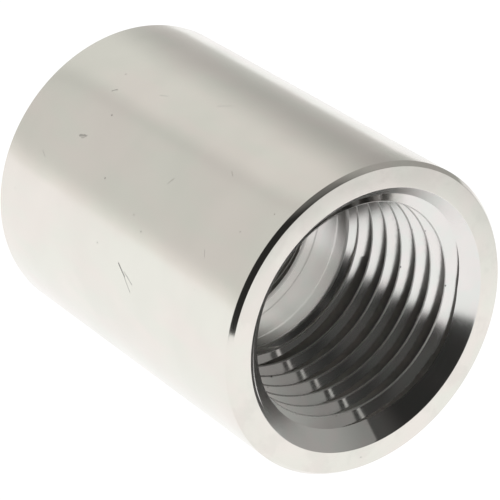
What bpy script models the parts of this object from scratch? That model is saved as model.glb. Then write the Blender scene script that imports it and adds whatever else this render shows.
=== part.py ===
# Threaded pipe coupling (round full socket), turned from one bar of stainless
# steel.
#
# The part lies on its side: its axis is +X and the origin is the middle of the
# part, half way along the axis.  Both ends carry the same right-hand internal
# taper pipe thread, with a short plain stretch of bore between them.
#
# Outlines and threads are made about a local Z axis, which the turning_axis
# empty lays along the part's +X.

import math

import bmesh
import bpy

# ---------------------------------------------------------------- dimensions
MM = 0.001

# Barrel
OUTER_R = 25.9 * MM / 2.0
LENGTH = 33.7 * MM             # over both end faces
HALF = LENGTH / 2.0            # from the origin to either face
EDGE_AXIAL = 0.40 * MM         # outer edge chamfer, measured along the axis
EDGE_RADIAL = 0.30 * MM        # outer edge chamfer, measured across it
BORE_R = 8.55 * MM             # plain bore between the two threads
MOUTH_R = 10.95 * MM           # countersink at each end face
MOUTH_DEPTH = 2.18 * MM        # how far in its cone would meet the plain bore

# Thread section
THREADS_PER_INCH = 14
PITCH = 25.4 * MM / THREADS_PER_INCH
CREST_R = 9.160 * MM           # crests of the thread, in the plane of its face
ROOT_R = 10.612 * MM           # roots of the thread, in the plane of its face
TAPER = 1.0 / 32.0             # loss of radius per unit of depth
FLANK_HALF_ANGLE = math.radians(30.0)
FLANK_WIDTH = (ROOT_R - CREST_R) * math.tan(FLANK_HALF_ANGLE)   # along the axis
CREST_FLAT = PITCH / 2.0 - FLANK_WIDTH   # crest and root have equal lands

# Thread placing: A is the +X end, B the -X end
THREAD_DEPTH_A = 14.4 * MM     # from its face inwards
THREAD_DEPTH_B = 14.1 * MM
CREST_DEPTH_A = 0.66 * MM      # a crest of the +X thread is this far inside
CREST_ANGLE_A = math.radians(48.5)   # its face at this angle round the axis
END_ANGLE_B = math.radians(138.9)    # where the -X thread runs out
OVERRUN = 1.2 * PITCH          # how far each tap's sweep runs past its face

# Mesh
STEPS = 48                     # facets round the part, and per turn of thread
WELD = 0.01 * MM               # points closer than this are merged
SHARP_ANGLE = math.radians(22.0)     # steeper corners are shaded sharp


# ------------------------------------------------------------------ helpers
def add_collection(name):
    col = bpy.data.collections.new(name)
    bpy.context.scene.collection.children.link(col)
    return col


def outline_object(name, points, col, closed):
    """An outline in the XZ plane, given as (radius, height) pairs."""
    mesh = bpy.data.meshes.new(name)
    bm = bmesh.new()
    verts = [bm.verts.new((radius, 0.0, z)) for radius, z in points]
    for pair in zip(verts, verts[1:] + (verts[:1] if closed else [])):
        bm.edges.new(pair)
    bm.to_mesh(mesh)
    bm.free()
    ob = bpy.data.objects.new(name, mesh)
    col.objects.link(ob)
    return ob


def add_screw(ob, turns, rise, steps, merge):
    """Sweep an outline round its own Z, climbing by rise over all the turns."""
    mod = ob.modifiers.new("Turned", "SCREW")
    mod.axis = "Z"
    mod.angle = 2.0 * math.pi * turns
    mod.screw_offset = rise
    mod.steps = steps
    mod.render_steps = steps
    mod.use_merge_vertices = merge
    mod.merge_threshold = WELD


def evaluated_mesh(ob):
    """A copy of the object's mesh with its modifiers applied."""
    bpy.context.view_layer.update()
    depsgraph = bpy.context.evaluated_depsgraph_get()
    return bpy.data.meshes.new_from_object(ob.evaluated_get(depsgraph))


def whole_steps(turns):
    """A number of turns, rounded up to a whole number of facets."""
    return math.ceil(turns * STEPS) / STEPS


def turned_stainless():
    mat = bpy.data.materials.new("turned_stainless")
    mat.use_nodes = True
    inputs = mat.node_tree.nodes["Principled BSDF"].inputs
    inputs["Base Color"].default_value = (0.78, 0.77, 0.75, 1.0)
    inputs["Metallic"].default_value = 1.0
    inputs["Roughness"].default_value = 0.24
    return mat


# ------------------------------------------------------------------- barrel
def barrel(col, axis):
    """Plain barrel: down the outside from the +X face, back up the bore."""
    outline = [
        (OUTER_R - EDGE_RADIAL, HALF),
        (OUTER_R, HALF - EDGE_AXIAL),
        (OUTER_R, -HALF + EDGE_AXIAL),
        (OUTER_R - EDGE_RADIAL, -HALF),
        (MOUTH_R, -HALF),
        (BORE_R, -HALF + MOUTH_DEPTH),
        (BORE_R, HALF - MOUTH_DEPTH),
        (MOUTH_R, HALF),
    ]
    ob = outline_object("coupling_body", outline, col, closed=True)
    ob.parent = axis
    add_screw(ob, turns=1.0, rise=0.0, steps=STEPS, merge=True)
    return ob


# ------------------------------------------------------------------ threads
def thread_outline(z):
    """One pitch of the thread's section, with its groove centred at height z.

    A truncated V from crest to root and back, then the land up to the next
    groove, so that each turn of the sweep meets the one before it.
    """
    at_crest = (PITCH - CREST_FLAT) / 2.0
    at_root = at_crest - FLANK_WIDTH
    return [
        (CREST_R, z - at_crest),
        (ROOT_R, z - at_root),
        (ROOT_R, z + at_root),
        (CREST_R, z + at_crest),
        (CREST_R, z - at_crest + PITCH),
    ]


def taper(bm, face):
    """Narrow the threaded surface with depth from its face (+1 or -1)."""
    for vert in bm.verts:
        radius = math.hypot(vert.co.x, vert.co.y)
        # Leave the middles of the end caps, which lie near the axis.
        if radius > BORE_R / 2.0:
            scale = 1.0 - TAPER * (HALF - face * vert.co.z) / radius
            vert.co.x *= scale
            vert.co.y *= scale


def tap(name, angle, z, turns, face, col, axis):
    """A solid taper plug with a right-hand thread, rising from height z.

    The face (+1 or -1) is the end it enters; it narrows away from there.
    """
    sweep = outline_object(name + "_sweep", thread_outline(z), col, closed=False)
    add_screw(sweep, turns, rise=PITCH * turns, steps=round(STEPS * turns), merge=False)
    mesh = evaluated_mesh(sweep)
    bpy.data.objects.remove(sweep, do_unlink=True)

    # Weld the turns together and close both ends with fans of triangles.
    bm = bmesh.new()
    bm.from_mesh(mesh)
    bmesh.ops.remove_doubles(bm, verts=bm.verts[:], dist=WELD)
    rims = [edge for edge in bm.edges if edge.is_boundary]
    caps = bmesh.ops.holes_fill(bm, edges=rims, sides=0)["faces"]
    bmesh.ops.poke(bm, faces=caps, center_mode="BOUNDS")
    taper(bm, face)
    bmesh.ops.recalc_face_normals(bm, faces=bm.faces[:])
    bm.to_mesh(mesh)
    bm.free()

    ob = bpy.data.objects.new(name, mesh)
    ob.parent = axis
    ob.rotation_euler = (0.0, 0.0, angle)
    ob.hide_render = True
    ob.display_type = "WIRE"
    col.objects.link(ob)
    return ob


def tap_a(col, axis):
    """+X end: from where the thread ends, out through the face."""
    # Grooves run half a pitch away from the crests.
    groove_z = HALF - CREST_DEPTH_A + PITCH / 2.0
    end_z = HALF - THREAD_DEPTH_A + PITCH / 2.0
    down = whole_steps((groove_z - end_z) / PITCH)
    start_z = groove_z - down * PITCH
    up = whole_steps((HALF + OVERRUN - start_z) / PITCH)
    start_angle = CREST_ANGLE_A - 2.0 * math.pi * down
    return tap("tap_a", start_angle, start_z, up, 1.0, col, axis)


def tap_b(col, axis):
    """-X end: from outside the face up to the thread's own depth."""
    start_z = -HALF - OVERRUN
    end_z = -HALF + THREAD_DEPTH_B - PITCH / 2.0
    up = whole_steps((end_z - start_z) / PITCH)
    start_angle = END_ANGLE_B - 2.0 * math.pi * up
    return tap("tap_b", start_angle, start_z, up, -1.0, col, axis)


# -------------------------------------------------------------------- build
for old in list(bpy.data.objects):
    bpy.data.objects.remove(old, do_unlink=True)

parts = add_collection("pipe_coupling")
cutters = add_collection("cutters")

turning_axis = bpy.data.objects.new("turning_axis", None)
turning_axis.rotation_euler = (0.0, math.radians(90.0), 0.0)
parts.objects.link(turning_axis)

body = barrel(parts, turning_axis)
taps = {
    "ThreadA": tap_a(cutters, turning_axis),
    "ThreadB": tap_b(cutters, turning_axis),
}
for cut_name, cutter in taps.items():
    cut = body.modifiers.new(cut_name, "BOOLEAN")
    cut.operation = "DIFFERENCE"
    cut.solver = "EXACT"
    cut.object = cutter

# Fix the cut shape, shade its round faces smooth and keep its corners sharp.
body.data = evaluated_mesh(body)
body.modifiers.clear()
body.data.name = "coupling_body"
body.data.shade_smooth()
body.data.set_sharp_from_angle(angle=SHARP_ANGLE)
body.data.materials.clear()    # drop any empty slots from the cuts
body.data.materials.append(turned_stainless())
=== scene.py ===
"""A threaded pipe coupling of turned stainless steel, lying on a white table.

Its axis is X, centred on the origin, and Z is up. Shape dimensions are in
millimetres; "depth" is the axial distance in from the nearer end face, and
angles run round X from +Y towards +Z. Names that end in _R are radii.
"""
import math
from collections import namedtuple
from types import SimpleNamespace

import bmesh
import bpy
import numpy as np
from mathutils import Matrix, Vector


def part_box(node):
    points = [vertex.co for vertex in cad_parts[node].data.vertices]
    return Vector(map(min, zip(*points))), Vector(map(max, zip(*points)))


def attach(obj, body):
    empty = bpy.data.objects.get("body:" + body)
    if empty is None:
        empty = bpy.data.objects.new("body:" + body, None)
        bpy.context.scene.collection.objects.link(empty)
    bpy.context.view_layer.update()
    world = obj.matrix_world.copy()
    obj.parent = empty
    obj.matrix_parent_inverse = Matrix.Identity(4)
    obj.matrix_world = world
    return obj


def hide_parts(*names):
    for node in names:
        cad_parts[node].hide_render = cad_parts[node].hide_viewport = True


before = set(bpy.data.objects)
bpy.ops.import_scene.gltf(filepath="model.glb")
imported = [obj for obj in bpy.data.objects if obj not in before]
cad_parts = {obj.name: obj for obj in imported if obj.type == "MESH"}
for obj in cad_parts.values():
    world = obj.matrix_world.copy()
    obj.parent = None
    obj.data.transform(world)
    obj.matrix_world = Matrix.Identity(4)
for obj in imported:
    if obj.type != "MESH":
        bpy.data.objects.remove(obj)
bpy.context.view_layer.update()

MM = 0.001

# ------------------------------------------------------------ main dimensions
body_low, body_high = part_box("coupling_body")
HALF_LENGTH = (body_high.x - body_low.x) / 2.0 / MM
OUTER_R = (body_high.z - body_low.z) / 2.0 / MM

EDGE_AXIAL, EDGE_RADIAL = 0.40, 0.30     # outer edge chamfer
PITCH = 25.4 / 14.0
CREST_R = 9.160                          # crests, in the plane of the face
ROOT_R = 10.612                          # roots, in the plane of the face
HEIGHT = ROOT_R - CREST_R                # height of the thread form
TAPER = 1.0 / 32.0                       # loss of radius per unit of depth
BORE_R = 8.67                            # plain bore
MOUTH_R = 10.95                          # countersink, in the plane of the face
MOUTH_SLOPE = 1.08                       # its loss of radius per unit of depth
FLANK_SLOPE = math.tan(math.radians(60.0))
CREST_FLAT = PITCH / 2.0 - HEIGHT / FLANK_SLOPE    # before rounding
ROUND_CREST = 0.05
ROUND_ROOT = 0.09
LEAD = 1.2                               # length over which a thread runs out

# side: sign of x at its end; end: depth where it stops;
# crest_x, crest_angle: one point on its crest
Thread = namedtuple("Thread", "side end crest_x crest_angle")
THREAD_A = Thread(1, 14.38, HALF_LENGTH - 0.63, math.radians(318.8))
THREAD_B = Thread(-1, 14.1, -3.165, math.radians(322.0))
THREADS = (THREAD_A, THREAD_B)

# Worn lip of the first groove at the +X end: angle in degrees, wear in mm
LIP = np.array([
    (225.0, 0.0), (254.0, 0.09), (275.0, 0.20), (290.0, 0.19), (316.0, 0.10),
    (330.0, 0.15), (343.0, 0.34), (357.0, 0.47), (372.0, 0.33), (405.0, 0.0),
])
LIP_ANGLES, LIP_WEAR = np.radians(LIP[:, 0]), LIP[:, 1]

# --------------------------------------------------------------- mesh density
COLUMNS = 256                            # round the axis
ARC_STEPS = 3                            # in each rounding of the thread form
MIN_FLAT = 0.008                         # flats shorter than this get no row
SEAM_DEPTH = 0.09                        # where outside and bore meshes meet
BARREL_STEP = 2.2                        # longest plain strip outside
# rows near the end of each thread, as distances beyond it
END_ROWS = (-1.25, -1.0, -0.75, -0.5, -0.25, -0.1, -0.05, 0.0, 0.05, 0.1, 0.15, 0.2,
            0.25, 0.3, 0.7, 1.1, 1.25, 1.30, 1.35, 1.40, 1.45, 1.50)
MIDDLE_MARGIN, MIDDLE_ROWS = 1.9, 4      # rows of the plain bore between them
THREAD_MARGIN = 0.3                      # thread rows go on this far past its end
ROW_GAP = 0.02                           # least gap between a fixed row and others
THREAD_ROW_GAP = 0.016                   # least gap from a thread row to those
CREASE_SIDE = 0.02                       # rows either side of a crease
LIP_SIDE = 0.06                          # rows either side of the worn lip's meeting
CREASE_LIMIT, CREASE_SAMPLES = 2.10, 700  # depth searched for creases


# --------------------------------------------------------------- thread shape
def half_profile():
    """Half a pitch of the thread form: (distance from the crest, height above it)."""
    angle = math.atan(FLANK_SLOPE)
    half = PITCH / 2.0
    crest_end = CREST_FLAT / 2.0 - ROUND_CREST * math.tan(angle / 2.0)
    root_start = half - CREST_FLAT / 2.0 + ROUND_ROOT * math.tan(angle / 2.0)
    points = [(0.0, 0.0)]
    if crest_end > MIN_FLAT:
        points.append((crest_end, 0.0))
    for i in range(1, ARC_STEPS + 1):
        turn = angle * i / ARC_STEPS
        points.append((max(crest_end, 0.0) + ROUND_CREST * math.sin(turn),
                       ROUND_CREST * (1.0 - math.cos(turn))))
    for i in range(ARC_STEPS, -1, -1):
        turn = angle * i / ARC_STEPS
        points.append((min(root_start, half) - ROUND_ROOT * math.sin(turn),
                       HEIGHT - ROUND_ROOT * (1.0 - math.cos(turn))))
    if root_start < half - MIN_FLAT:
        points.append((half, HEIGHT))
    return np.array(points)


FORM_X, FORM_HEIGHT = half_profile().T.copy()
# rows of one whole pitch, measured from a crest
FORM_ROWS = np.unique(np.round(np.concatenate([FORM_X, PITCH - FORM_X]) % PITCH, 6))
FORM_ROWS = FORM_ROWS[FORM_ROWS < PITCH - 1e-5]


def smooth(t):
    t = np.clip(t, 0.0, 1.0)
    return t * t * (3.0 - 2.0 * t)


def advance(angle):
    """Axial travel of a helix over an angle."""
    return PITCH * angle / math.tau


def lip(angle):
    """Depth where the first groove starts at the +X end, and the wear of its lip."""
    if angle <= LIP_ANGLES[0]:
        angle = angle + math.tau
    first = HALF_LENGTH - THREAD_A.crest_x + CREST_FLAT / 2.0
    start = first - advance(angle - THREAD_A.crest_angle)
    return start, float(np.interp(angle, LIP_ANGLES, LIP_WEAR))


def thread_radius(x, angle, depth, thread):
    """Radius of a thread before it meets the bore; depth is from its own face."""
    along = np.mod(x - thread.crest_x - advance(angle - thread.crest_angle), PITCH)
    along = np.minimum(along, PITCH - along)
    runout = HEIGHT * (thread.end + 0.02 - depth) / LEAD
    high = np.interp(along, FORM_X, FORM_HEIGHT)
    if thread is THREAD_A:
        start, wear = lip(angle)
        if wear > 0.0:
            near = (depth > start - 0.3) & (depth < start + 1.4)
            worn = np.maximum(FLANK_SLOPE * (depth - start - wear), 0.0)
            high = np.where(near, np.minimum(high, worn), high)
    return CREST_R - TAPER * depth + np.minimum(high, runout)


def cone_radius(depth):
    """Radius of the countersink."""
    return MOUTH_R - MOUTH_SLOPE * depth


def bore_radius(x):
    """Reamed taper at each end, then the plain bore with a faint tool step."""
    step_height, step_start, step_length = 0.010, 1.25, 0.25
    blend_start, blend_length = -0.05, 0.10      # from taper to plain bore
    from_a, from_b = HALF_LENGTH - x, HALF_LENGTH + x
    depth = np.minimum(from_a, from_b)
    end = np.where(from_a < from_b, THREAD_A.end, THREAD_B.end)
    reamed = CREST_R - TAPER * depth
    plain = BORE_R + step_height * smooth((depth - end - step_start) / step_length)
    return reamed + (plain - reamed) * smooth((depth - end - blend_start) / blend_length)


def wall_radius(x, angle):
    """Radius of the finished inner wall."""
    radius = bore_radius(x)
    for thread in THREADS:
        depth = HALF_LENGTH - thread.side * x
        cut = np.maximum(radius, thread_radius(x, angle, depth, thread))
        radius = np.where(depth < thread.end + 0.05, cut, radius)
        radius = np.maximum(radius, cone_radius(depth))
    return radius


# -------------------------------------------------------------- outside shape
def fillet(corners, segments=4):
    """The (x, r) polyline of (x, r, rounding) corners; its two ends stay sharp."""
    points = [corners[0][:2]]
    for before, here, after in zip(corners, corners[1:], corners[2:]):
        corner = np.array(here[:2], float)
        back = np.array(before[:2], float) - corner
        ahead = np.array(after[:2], float) - corner
        back_length, ahead_length = np.linalg.norm(back), np.linalg.norm(ahead)
        back, ahead = back / back_length, ahead / ahead_length
        angle = math.acos(float(np.clip(back @ ahead, -1, 1)))
        trim = min(here[2] / math.tan(angle / 2.0), 0.45 * back_length, 0.45 * ahead_length)
        rounding = trim * math.tan(angle / 2.0)
        middle = back + ahead
        centre = corner + middle / np.linalg.norm(middle) * rounding / math.sin(angle / 2.0)
        start, stop = corner + back * trim - centre, corner + ahead * trim - centre
        turn = math.pi - angle
        for k in range(segments + 1):
            t = k / segments
            spoke = math.sin((1 - t) * turn) * start + math.sin(t * turn) * stop
            points.append(tuple(centre + spoke / math.sin(turn)))
    points.append(corners[-1][:2])
    return points


def outside_profile():
    """From just inside the +X mouth, over the barrel, to just inside the -X one."""
    corners = [
        (HALF_LENGTH - SEAM_DEPTH, cone_radius(SEAM_DEPTH), 0.0),
        (HALF_LENGTH, MOUTH_R, 0.045),
        (HALF_LENGTH, OUTER_R - EDGE_RADIAL, 0.05),
        (HALF_LENGTH - EDGE_AXIAL, OUTER_R, 0.06),
    ]
    corners += [(-x, radius, rounding) for x, radius, rounding in reversed(corners)]
    points = fillet(corners)
    # a few plain rows, so that the long faces are not single strips
    full = []
    for a, b in zip(points, points[1:]):
        parts = 1 + int(math.dist(a, b) // BARREL_STEP)
        for k in range(parts):
            t = k / parts
            full.append((a[0] + (b[0] - a[0]) * t, a[1] + (b[1] - a[1]) * t))
    full.append(points[-1])
    return full


# ------------------------------------------------------------------ bore rows
def thread_rows(angle):
    """Rows that follow the two helices."""
    rows = []
    for thread in THREADS:
        base = thread.crest_x + advance(angle - thread.crest_angle)
        low, high = sorted((thread.side * HALF_LENGTH,
                            thread.side * (HALF_LENGTH - thread.end - THREAD_MARGIN)))
        first = math.floor((low - base) / PITCH) - 1
        last = math.ceil((high - base) / PITCH) + 1
        turns = PITCH * np.arange(first, last + 1)[:, None]
        grid = (base + turns + FORM_ROWS[None]).ravel()
        rows.append(grid[(grid < high) & (grid > low)])
    return np.concatenate(rows)


def crease_rows(angle):
    """Rows on and beside the creases of the countersinks and of the worn lip."""
    rows = []
    for thread in THREADS:
        depth = np.linspace(SEAM_DEPTH, CREASE_LIMIT, CREASE_SAMPLES)
        x = thread.side * (HALF_LENGTH - depth)
        base = thread_radius(x, angle, depth, thread)
        gap = np.maximum(base, bore_radius(x)) - cone_radius(depth)
        for k in np.nonzero(gap[:-1] * gap[1:] < 0)[0]:
            t = gap[k] / (gap[k] - gap[k + 1])
            crease = float(x[k] + (x[k + 1] - x[k]) * t)
            rows += [crease - CREASE_SIDE, crease, crease + CREASE_SIDE]
    start, wear = lip(angle)
    if wear > 0.0:
        # where the worn lip meets the far flank
        meet = (start + wear + start + PITCH - CREST_FLAT) / 2.0
        x = HALF_LENGTH - meet
        rows += [x, x + LIP_SIDE, x - LIP_SIDE]
    return rows


def column_rows(angle):
    """Axial positions of one column of bore points, from +X to -X."""
    top = HALF_LENGTH - SEAM_DEPTH
    bottom = -top
    plain = [thread.side * (HALF_LENGTH - thread.end - beyond)
             for thread in THREADS for beyond in END_ROWS]
    plain += list(np.linspace(HALF_LENGTH - THREAD_A.end - MIDDLE_MARGIN,
                              -HALF_LENGTH + THREAD_B.end + MIDDLE_MARGIN, MIDDLE_ROWS))
    moving = thread_rows(angle)
    # plain rows give way to thread rows, and those give way to the ends and creases
    fixed = [top, bottom] + [x for x in plain if np.abs(moving - x).min() > ROW_GAP]
    anchors = np.array(fixed + [x for x in crease_rows(angle)
                                if min(abs(x - other) for other in fixed) > ROW_GAP])
    clear = np.abs(moving[:, None] - anchors[None]).min(1) > THREAD_ROW_GAP
    rows = np.concatenate([anchors, moving[clear]])
    rows = rows[(rows <= top + 1e-9) & (rows >= bottom - 1e-9)]
    return np.sort(rows)[::-1]


# ------------------------------------------------------------------- coupling
def stitch(column, following):
    """Triangles between two neighbouring columns, each a (positions, ids) pair."""
    (xa, ids_a), (xb, ids_b) = column, following
    lead = PITCH / COLUMNS
    faces = []
    m = n = 0
    while m < len(xa) - 1 or n < len(xb) - 1:
        if m == len(xa) - 1:
            step_a = False
        elif n == len(xb) - 1:
            step_a = True
        else:
            step_a = abs(xb[n] - xa[m + 1] - lead) <= abs(xb[n + 1] - xa[m] - lead)
        if step_a:
            faces.append((ids_a[m], ids_a[m + 1], ids_b[n]))
            m += 1
        else:
            faces.append((ids_a[m], ids_b[n + 1], ids_b[n]))
            n += 1
    return faces


def build_mesh():
    verts, faces = [], []
    angles = math.tau * np.arange(COLUMNS) / COLUMNS

    def add_point(x, radius, angle):
        verts.append((x * MM, radius * math.cos(angle) * MM, radius * math.sin(angle) * MM))
        return len(verts) - 1

    rings = [[add_point(x, radius, angle) for angle in angles]
             for x, radius in outside_profile()]
    for a, b in zip(rings, rings[1:]):
        for i in range(COLUMNS):
            j = (i + 1) % COLUMNS
            faces.append((a[i], a[j], b[j], b[i]))

    columns = []
    for i, angle in enumerate(angles):
        rows = column_rows(angle)
        radii = wall_radius(rows, angle)
        inner = [add_point(x, radius, angle) for x, radius in zip(rows[1:-1], radii[1:-1])]
        columns.append((rows, [rings[0][i], *inner, rings[-1][i]]))
    for i in range(COLUMNS):
        faces += stitch(columns[i], columns[(i + 1) % COLUMNS])
    mesh = bpy.data.meshes.new("coupling_shell")
    mesh.from_pydata(verts, [], faces)
    mesh.validate()
    mesh.update()
    return mesh


def face_outwards(mesh):
    shell = bmesh.new()
    shell.from_mesh(mesh)
    bmesh.ops.recalc_face_normals(shell, faces=shell.faces[:])
    if shell.calc_volume(signed=True) < 0:
        bmesh.ops.reverse_faces(shell, faces=shell.faces[:])
    shell.to_mesh(mesh)
    shell.free()


def build_coupling():
    mesh = build_mesh()
    face_outwards(mesh)
    mesh.shade_smooth()
    mesh.set_sharp_from_angle(angle=math.radians(40.0))
    coupling = bpy.data.objects.new("coupling", mesh)
    bpy.context.scene.collection.objects.link(coupling)
    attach(coupling, "root")
    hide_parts("coupling_body")
    return coupling


# ------------------------------------------------------------- node shorthand
class Field:
    """A node output that can be used in sums; each sum adds a node."""

    def __init__(self, tree, socket):
        self.tree = tree
        self.socket = socket

    def math(self, operation, other=0.0, clamp=False):
        return self.tree.math(operation, self, other, clamp)

    def __add__(self, other): return self.math("ADD", other)
    def __sub__(self, other): return self.math("SUBTRACT", other)
    def __rsub__(self, other): return self.tree.math("SUBTRACT", other, self)
    def __mul__(self, other): return self.math("MULTIPLY", other)
    def __truediv__(self, other): return self.math("DIVIDE", other)
    def max(self, other): return self.math("MAXIMUM", other)
    def abs(self): return self.math("ABSOLUTE")

    def ramp(self, over, to=(0.0, 1.0)):
        """A smooth step between two values, while this field goes over a range."""
        return self.tree.field("MapRange", dict(enumerate((self, *over, *to))),
                               interpolation_type="SMOOTHSTEP", clamp=True)

    def blend(self, zero, one):
        """Goes from one number to another as this field goes from 0 to 1."""
        return self.tree.field("Mix", {0: self, 2: zero, 3: one}, data_type="FLOAT")

    def blend_colours(self, zero, one):
        return self.tree.field("Mix", {0: self, 6: zero, 7: one}, 2, data_type="RGBA")


class Tree:
    """Writes a shader tree; inputs are {socket: number, tuple, Field or output}."""

    def __init__(self, tree):
        self.tree = tree

    def plug(self, node, inputs):
        for key, value in inputs.items():
            value = getattr(value, "socket", value)
            if isinstance(value, bpy.types.NodeSocket):
                self.tree.links.new(value, node.inputs[key])
            else:
                node.inputs[key].default_value = value

    def node(self, kind, inputs={}, **settings):
        node = self.tree.nodes.new("ShaderNode" + kind)
        for name, value in settings.items():
            setattr(node, name, value)
        self.plug(node, inputs)
        return node

    def field(self, kind, inputs={}, output=0, **settings):
        return Field(self, self.node(kind, inputs, **settings).outputs[output])

    def math(self, operation, a, b, clamp=False):
        return self.field("Math", {0: a, 1: b, 2: 0.0}, operation=operation, use_clamp=clamp)

    def vector_math(self, operation, a, b, output):
        return self.field("VectorMath", {0: a, 1: b}, output, operation=operation)

    def split(self, vector):
        return [Field(self, out) for out in self.node("SeparateXYZ", {0: vector}).outputs]

    def join(self, x, y, z):
        return self.field("CombineXYZ", {0: x, 1: y, 2: z})

    def stretch(self, place, along, across):
        """A texture vector: the first coordinate times along, the others times across."""
        return self.join(place[0] * along, place[1] * across, place[2] * across)

    def noise(self, place, along, across, detail, roughness):
        return self.field("TexNoise", {"Vector": self.stretch(place, along, across),
                                       "Scale": 1.0, "Detail": detail,
                                       "Roughness": roughness})

    def cells(self, place, density):
        """Distance to the nearest of many scattered points."""
        return self.field("TexVoronoi", {"Vector": self.stretch(place, density, density),
                                         "Scale": 1.0}, "Distance")

    def scratch(self, point, start, stop, width, strength):
        """Strength along a short line in the plane of the point, fading to 0."""
        along = (stop[0] - start[0], stop[1] - start[1], 0.0)
        offset = self.vector_math("SUBTRACT", point, (*start, 0.0), 0)
        dot = self.vector_math("DOT_PRODUCT", offset, along, "Value")
        # the small term keeps a line of no length from dividing by zero
        square = along[0] * along[0] + along[1] * along[1] + 1e-9
        part = dot.math("DIVIDE", square, clamp=True)
        foot = self.field("VectorMath", {0: along, "Scale": part}, operation="SCALE")
        distance = self.vector_math("DISTANCE", offset, foot, "Value")
        return distance.ramp(over=(width * 0.25, width), to=(strength, 0.0))


# ------------------------------------------------------------------ stainless
# Handling marks on the barrel: x and angle (degrees) of both ends, width, strength
MARKS = [
    (1.50, 169.6, 2.50, 172.8, 0.085, 0.80), (2.45, 172.9, 3.40, 177.2, 0.060, 0.55),
    (2.40, 171.3, 3.60, 173.9, 0.060, 0.55), (-8.80, 138.4, -8.05, 137.3, 0.150, 0.40),
    (-8.45, 138.9, -8.20, 138.2, 0.110, 0.25), (-9.40, 118.6, -9.05, 117.2, 0.070, 0.45),
    (-7.14, 126.3, -7.10, 126.5, 0.080, 0.75), (-3.38, 146.2, -3.34, 146.4, 0.080, 0.75),
    (3.45, 136.0, 3.70, 133.6, 0.070, 0.28), (3.24, 154.8, 3.27, 155.0, 0.075, 0.55),
    (-1.76, 167.5, -1.73, 167.7, 0.080, 0.45), (-10.07, 110.0, -10.04, 110.2, 0.075, 0.45),
    (0.45, 101.8, 1.25, 98.6, 0.055, 0.20), (-4.95, 110.3, -4.25, 109.2, 0.060, 0.16),
    (1.69, 151.2, 1.75, 151.5, 0.060, 0.35), (8.2, 121.0, 8.7, 122.2, 0.050, 0.22),
    (-12.1, 150.2, -11.5, 151.6, 0.050, 0.20), (10.9, 148.0, 11.2, 150.1, 0.050, 0.22),
    (-5.6, 212.0, -4.9, 214.5, 0.050, 0.35), (6.4, 255.0, 7.3, 258.0, 0.050, 0.35),
    (-10.2, 20.0, -9.1, 24.0, 0.055, 0.35), (4.1, 42.0, 4.4, 47.0, 0.050, 0.35),
    (11.6, 330.0, 12.5, 327.0, 0.060, 0.30), (-2.5, 300.0, -2.4, 306.0, 0.050, 0.35),
]
ABOVE_CONE = (0.02, 0.10)    # radius beyond the countersink over which grooves begin


def surface(tree):
    """Places and regions of the coupling, in millimetres; regions are 0 to 1."""
    coords = tree.node("TexCoord")
    x, y, z = place = [axis * 1000.0 for axis in tree.split(coords.outputs["Object"])]
    radius = (y * y + z * z).math("SQRT")
    inside = radius.ramp(over=(MOUTH_R + 0.02, MOUTH_R - 0.03))
    depth = HALF_LENGTH - x.abs()
    high = (radius - (CREST_R - depth * TAPER)) / HEIGHT      # 0 at crests, 1 at roots
    cone = MOUTH_R - depth * MOUTH_SLOPE
    grooved = (radius - cone).ramp(over=ABOVE_CONE) * inside
    # groove flanks that face the middle of the part, which get painted shade in the colour
    facing = tree.split(coords.outputs["Normal"])[0] * x.math("SIGN")
    return SimpleNamespace(
        place=place, radius=radius, angle=z.math("ARCTAN2", y),
        barrel=radius.ramp(over=(OUTER_R - 0.06, OUTER_R - 0.02)),
        inside=inside, depth=depth, high=high, cone=cone, grooved=grooved,
        inward_shade=facing.ramp(over=(0.0, -0.35)) * grooved)


def tool_lines(tree, at):
    """Fine lines left by the tool: they run round the axis."""
    circle = at.angle.math("COSINE"), at.angle.math("SINE")
    turned = tree.noise((at.place[0], *circle), along=9.0, across=1.1,
                        detail=4.0, roughness=0.62)
    faced = tree.noise((at.radius, *circle), along=7.0, across=1.0,
                       detail=4.0, roughness=0.6)
    return at.barrel.blend(faced, turned)


def surface_marks(tree, at):
    """Handling marks, pin specks outside, and small flaws along the crests."""
    ragged = tree.noise(at.place, along=5.0, across=5.0, detail=2.0, roughness=0.6)
    ragged = (ragged - 0.5) * 0.16
    # the barrel unrolled, with its lines made a little ragged
    spread = (at.angle + math.tau).math("MODULO", math.tau) * OUTER_R
    flat = tree.join(at.place[0] + ragged, spread + ragged, 0.0)
    marks = None
    for x0, angle0, x1, angle1, width, strength in MARKS:
        mark = tree.scratch(flat, (x0, math.radians(angle0) * OUTER_R),
                            (x1, math.radians(angle1) * OUTER_R), width, strength)
        marks = mark if marks is None else marks.max(mark)
    marks = marks * at.barrel

    pick = tree.noise(at.place, along=0.8, across=0.8, detail=1.0, roughness=0.5)
    pins = tree.cells(at.place, density=0.55).ramp(over=(0.018, 0.045), to=(0.35, 0.0))
    pins = pins * pick.ramp(over=(0.52, 0.60))
    marks = marks.max(pins * (1.0 - at.inside))

    crests = (at.high - 0.04).abs().ramp(over=(0.10, 0.04)) * at.grooved
    flaws = tree.cells(at.place, density=1.3).ramp(over=(0.06, 0.14), to=(0.7, 0.0))
    return marks.max(flaws * crests * at.depth.ramp(over=(13.3, 12.9)))


def painted_root_shade(tree, at):
    """Painted shade that deepens towards the roots of the threads; the same mask also makes
    them a little rougher.
    """
    ragged = tree.noise(at.place, along=2.2, across=1.6, detail=4.0, roughness=0.65)
    root_shade = (at.high + (ragged - 0.5) * 0.4).ramp(over=(0.35, 0.95)) * at.grooved
    return root_shade * at.depth.ramp(over=(1.8, 4.0))


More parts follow.
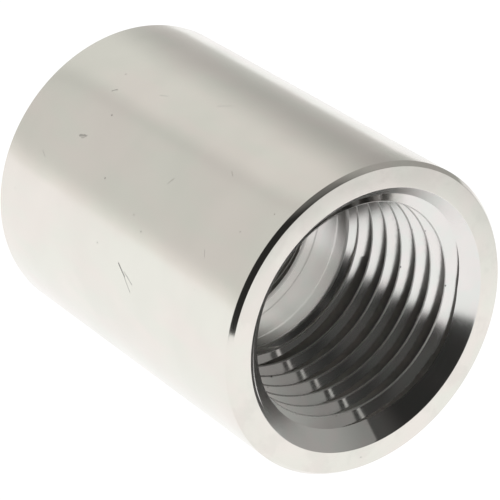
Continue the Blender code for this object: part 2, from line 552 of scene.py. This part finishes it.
def steel_colour(tree, at, lines, cloud, marks, root_shade):
    tint = tree.noise(at.place, along=0.11, across=0.30, detail=2.0, roughness=0.5)
    outer = tint.ramp(over=(0.36, 0.64)).blend_colours(
        (0.806, 0.764, 0.716, 1.0), (0.780, 0.772, 0.712, 1.0))
    patch = tree.noise(at.place, along=0.45, across=0.55, detail=3.0, roughness=0.6)
    inner = patch.ramp(over=(0.38, 0.62)).blend_colours(
        (0.792, 0.762, 0.742, 1.0), (0.762, 0.766, 0.738, 1.0))
    base = at.inside.blend_colours(outer, inner)

    shade = cloud.ramp(over=(0.30, 0.70), to=(0.970, 1.0))
    shade = shade * lines.ramp(over=(0.25, 0.75), to=(0.992, 1.0))
    # painted shade: darker towards the thread roots, deep in the bore
    shade = shade * (1.0 - marks) * root_shade.blend(1.0, 0.66)
    # finger smudges on the end faces
    smudge = tree.noise(at.place, along=0.7, across=0.35, detail=4.0, roughness=0.62)
    ring = (1.0 - at.inside) * (1.0 - at.barrel)
    shade = shade * ring.blend(1.0, smudge.ramp(over=(0.40, 0.56), to=(0.955, 1.0)))
    # painted shade on the groove flanks that face the middle of the part
    shade = shade * at.inward_shade.blend(1.0, 0.66)
    grey = tree.field("CombineColor", {0: shade, 1: shade, 2: shade})
    return tree.field("Mix", {0: 1.0, 6: base, 7: grey}, 2,
                      data_type="RGBA", blend_type="MULTIPLY")


def steel_roughness(at, lines, cloud, marks, root_shade):
    _, y, z = at.place
    rough = at.barrel.blend(0.12, 0.17)
    rough = at.inside.blend(rough, y.ramp(over=(1.0, 6.0), to=(0.055, 0.150)))
    plain = at.depth.ramp(over=(THREAD_A.end - 0.1, THREAD_A.end + 0.3))
    plain = plain * at.radius.ramp(over=(BORE_R + 0.35, BORE_R + 0.1))
    rough = plain.blend(rough, 0.24)
    # the countersinks are duller on their -Y side and at the top
    sink = (1.0 - (at.radius - at.cone).ramp(over=ABOVE_CONE)) * at.inside
    sink = sink * at.depth.ramp(over=(2.0, 1.8))
    dull = y.ramp(over=(-2.0, -7.0)).max(z.ramp(over=(4.0, 7.5)))
    rough = rough + sink * dull * 0.20
    crests = at.high.ramp(over=(0.09, 0.03)) * at.grooved
    rough = rough + crests * (1.0 - plain) * 0.40
    rough = rough + lines.ramp(over=(0.2, 0.8), to=(-0.015, 0.02))
    rough = rough + cloud.ramp(over=(0.3, 0.7), to=(0.02, -0.01))
    return rough + marks * 0.25 + (root_shade * 0.12 + at.inward_shade * 0.25)


def stainless():
    material = bpy.data.materials.new("turned_stainless")
    material.use_nodes = True
    tree = Tree(material.node_tree)
    at = surface(tree)
    lines = tool_lines(tree, at)
    # soft clouding, from handling and from the polishing wheel
    cloud = tree.noise(at.place, along=0.16, across=0.16, detail=3.0, roughness=0.55)
    marks = surface_marks(tree, at)
    # mask of painted shade towards the thread roots, also used for roughness
    root_shade = painted_root_shade(tree, at)
    bump = tree.field("Bump", {"Strength": 0.25, "Distance": 0.00002,
                               "Height": lines * 0.12 - marks})
    tree.plug(material.node_tree.nodes["Principled BSDF"], {
        "Base Color": steel_colour(tree, at, lines, cloud, marks, root_shade),
        "Metallic": 1.0,
        "Roughness": steel_roughness(at, lines, cloud, marks, root_shade),
        "Normal": bump,
    })
    return material


# ---------------------------------------------------------------------- floor
WHITE = (1.0, 1.0, 1.0, 1.0)
SEEN_WHITE = 1.06                        # brightness of table and backdrop to the camera
VIEW_X, VIEW_Y = 0.82, 0.57              # the camera lies towards (VIEW_X, -VIEW_Y)


def white_table():
    material = bpy.data.materials.new("white_table")
    material.use_nodes = True
    tree = Tree(material.node_tree)
    tree.tree.nodes.clear()
    x, y, _ = tree.split(tree.field("TexCoord", output="Object"))
    # reflections see it darken towards +X and +Y, in metres
    away = x * VIEW_X + y * VIEW_Y
    level = away.ramp(over=(0.038, 0.072), to=(1.06, 0.84)) * x.ramp(
        over=(-0.010, 0.010)).blend(1.0, y.ramp(over=(0.045, 0.09), to=(1.0, 0.40)))
    seen = tree.field("LightPath", output="Is Camera Ray")
    glow = tree.field("Emission", {0: WHITE, 1: seen.blend(level, SEEN_WHITE)})
    tree.node("OutputMaterial", {0: glow})
    return material


def build_floor():
    """A table that ends a little way in front of the part, towards the camera."""
    near, far, wide = 0.095, -1.6, 1.6   # metres
    ahead = Vector((VIEW_X, -VIEW_Y, 0.0)).normalized()
    across = Vector((VIEW_Y, VIEW_X, 0.0)).normalized()
    corners = [ahead * reach + across * side for reach, side in
               ((near, -wide), (near, wide), (far, wide), (far, -wide))]
    mesh = bpy.data.meshes.new("floor")
    mesh.from_pydata([(p.x, p.y, -OUTER_R * MM) for p in corners], [], [(0, 1, 2, 3)])
    table = bpy.data.objects.new("floor", mesh)
    bpy.context.scene.collection.objects.link(table)
    mesh.materials.append(white_table())


# ---------------------------------------------------------------------- world
def room_level(tree):
    """Brightness of the room by direction; angles in radians, z from -1 to 1."""
    x, y, z = tree.split(tree.field("TexCoord", output="Generated"))
    azimuth = y.math("ARCTAN2", x)
    # the dark room behind the camera, with one hard edge beside the +Y wall
    past = azimuth - z.ramp(over=(0.42, 0.60), to=(0.480, 0.590))
    dark = past.ramp(over=(0.012, -0.012)) * azimuth.ramp(over=(-2.05, -1.25))
    # a narrow lit strip just inside that edge
    strip = (past + 0.085).abs().ramp(over=(0.012, 0.026), to=(0.42, 0.0))
    strip = strip * z.ramp(over=(0.50, 0.62), to=(1.0, 0.0))

    # pale wall behind the part with a darker stripe, and grey side wall
    from_back = y.math("ARCTAN2", x * -1.0)      # angle from -X
    back = from_back.ramp(over=(0.80, 0.34))
    side = azimuth.ramp(over=(0.62, 1.20), to=(0.27, 0.41))
    pale = from_back.ramp(over=(-0.15, -0.02), to=(0.690, 0.800))
    pale = pale + from_back.ramp(over=(-0.18, -0.34), to=(0.0, 0.03))
    pale = pale - (from_back + 0.207).abs().ramp(over=(0.015, 0.055), to=(0.050, 0.0))
    # both walls brighten near the horizon
    walls = back.blend(side, pale) + z.ramp(over=(0.16, 0.0), to=(0.0, 0.20)) * back
    spill = z.ramp(over=(0.34, 0.04), to=(0.0, 0.16)) * azimuth.ramp(over=(1.9, 2.2))
    walls = walls + spill * (1.0 - back)

    # inside the dark room: its top, a dim low part, and a glow beside the edge
    room = z.ramp(over=(0.83, 0.93), to=(0.026, 0.160)) + strip
    low = z.ramp(over=(0.50, 0.40)) * azimuth.ramp(over=(-0.48, -0.36))
    room = room + low * 0.048
    beside = past.ramp(over=(-0.55, -0.10), to=(0.0, 0.045))
    room = room + beside * z.ramp(over=(0.42, 0.55))

    # below the horizon: white, but dark towards the camera
    towards = x * VIEW_X - y * VIEW_Y
    below = towards.ramp(over=(0.2, 0.35)).blend(1.0, 0.030)
    return z.ramp(over=(-0.01, 0.0)).blend(below, dark.blend(walls, room))


def build_world():
    """The room for lighting and reflections; plain white to the camera."""
    world = bpy.data.worlds.new("studio")
    bpy.context.scene.world = world
    world.use_nodes = True
    tree = Tree(world.node_tree)
    tree.tree.nodes.clear()
    level = room_level(tree)
    colour = tree.join(level, level * 0.995, level * 0.965)      # slightly warm
    room = tree.field("Background", {0: colour})
    white = tree.field("Background", {0: WHITE, 1: SEEN_WHITE})
    seen = tree.field("LightPath", output="Is Camera Ray")
    tree.node("OutputWorld", {0: tree.field("MixShader", {0: seen, 1: room, 2: white})})


# --------------------------------------------------------------------- camera
def build_camera():
    lens = bpy.data.cameras.new("camera")
    lens.sensor_width = 36.0
    lens.lens = 193.63
    lens.clip_start = 0.01
    lens.clip_end = 10.0
    camera = bpy.data.objects.new("camera", lens)
    bpy.context.scene.collection.objects.link(camera)
    camera.location = Vector((159.563, -110.443, 96.756)) * MM
    aim = Vector((0.603, 0.295, -0.649)) * MM
    camera.rotation_mode = "QUATERNION"
    camera.rotation_quaternion = (aim - camera.location).to_track_quat("-Z", "Y")
    bpy.context.scene.camera = camera


coupling = build_coupling()
coupling.data.materials.append(stainless())
build_floor()
build_world()
build_camera()
bpy.context.scene.view_settings.view_transform = "Standard"
bpy.context.scene.view_settings.look = "None"
